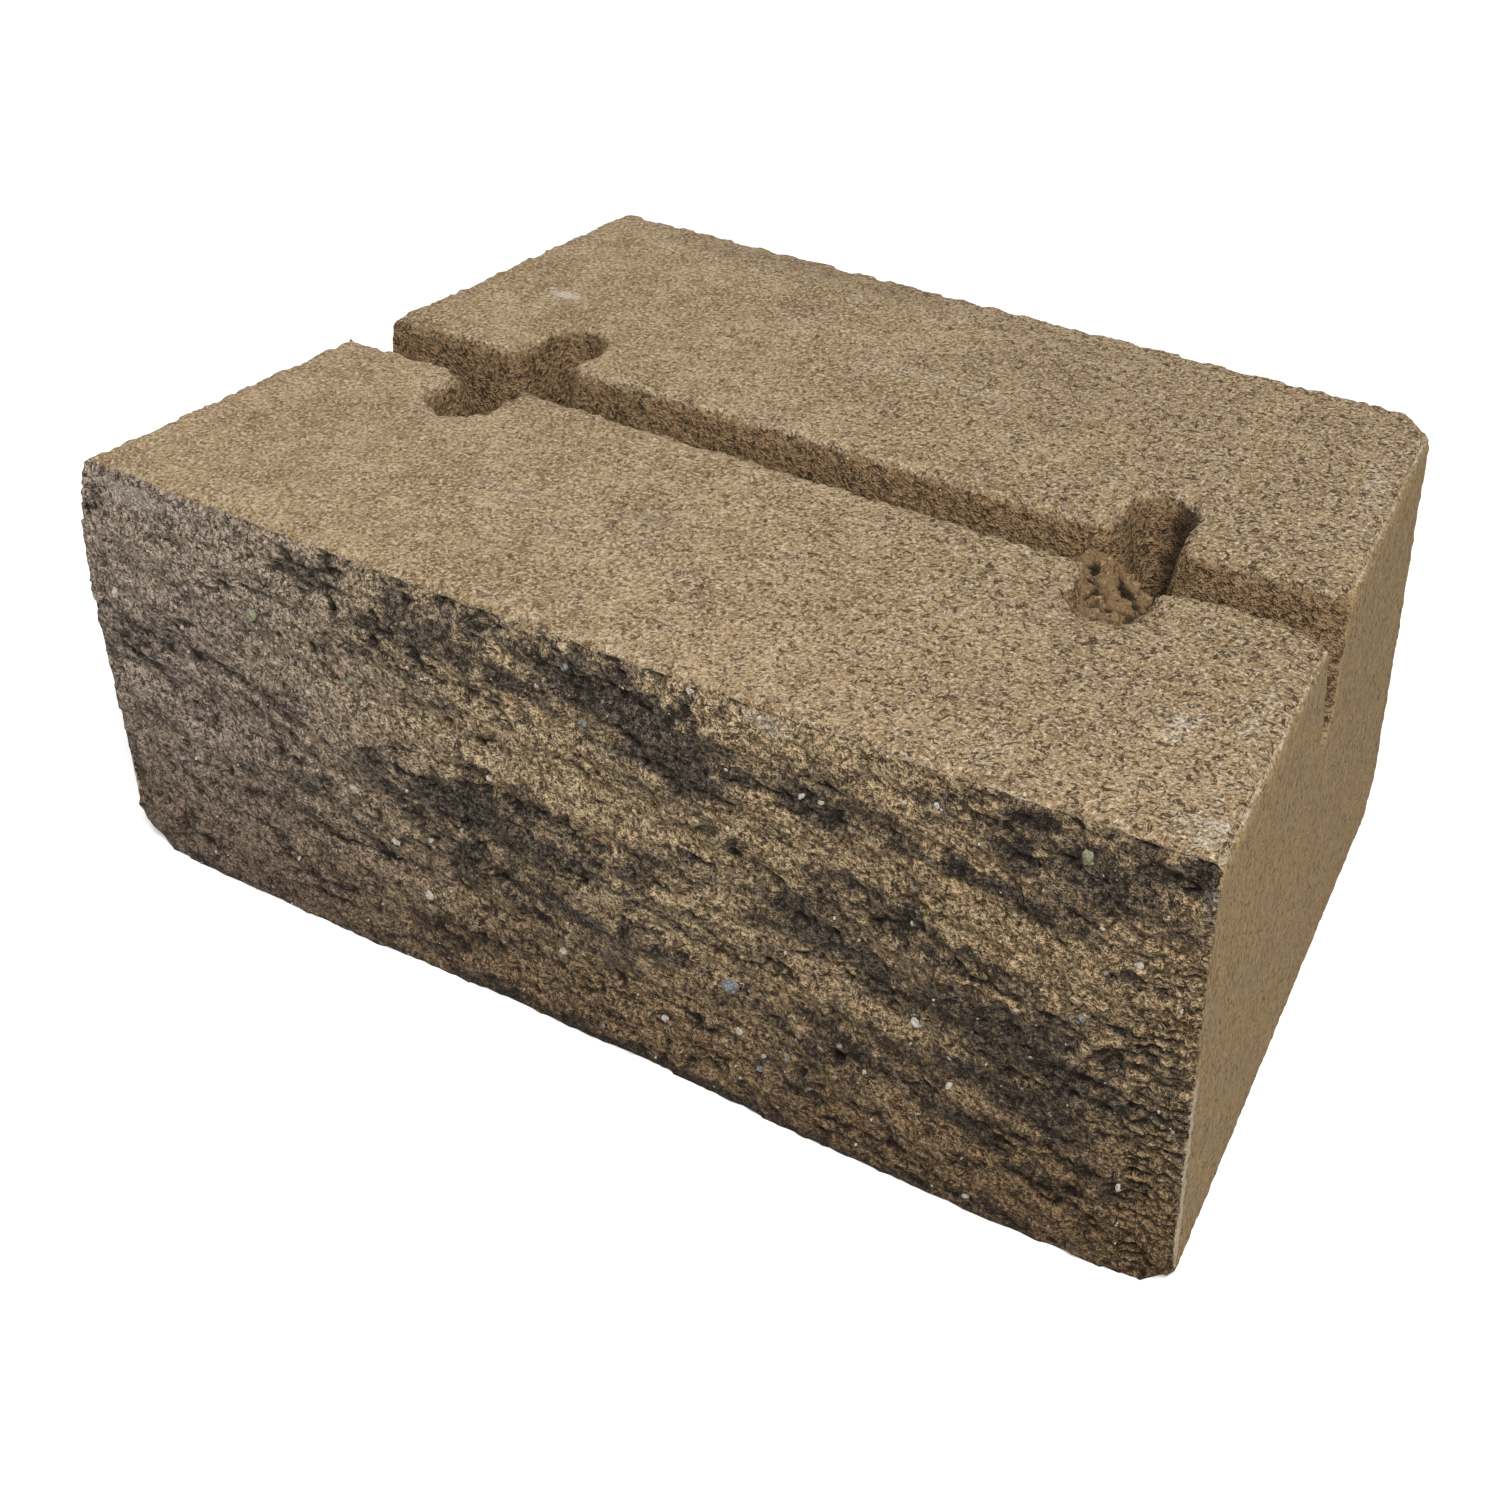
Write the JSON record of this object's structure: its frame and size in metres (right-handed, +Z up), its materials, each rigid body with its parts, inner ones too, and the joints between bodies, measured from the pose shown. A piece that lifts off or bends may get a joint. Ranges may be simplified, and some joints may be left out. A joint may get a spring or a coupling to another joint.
{
  "type": "retaining wall block",
  "caption": "Tapered dry-cast concrete retaining wall block with a rough split face, a drafted groove across its top bed and slanted connector pockets.",
  "frame": {"origin": "on the flat bed face, in the middle of the block's nominal width and depth", "axes": "+X along the wall to the right as seen from in front of the split face, +Y into the bank, +Z up through the top bed"},
  "size_m": [0.4084, 0.2655, 0.1524],
  "materials": {
    "concrete": "matte, grainy dry-cast concrete with a split face blended tan and charcoal"
  },
  "bodies": {
    "root": {"block": "concrete"}
  },
  "joints": []
}
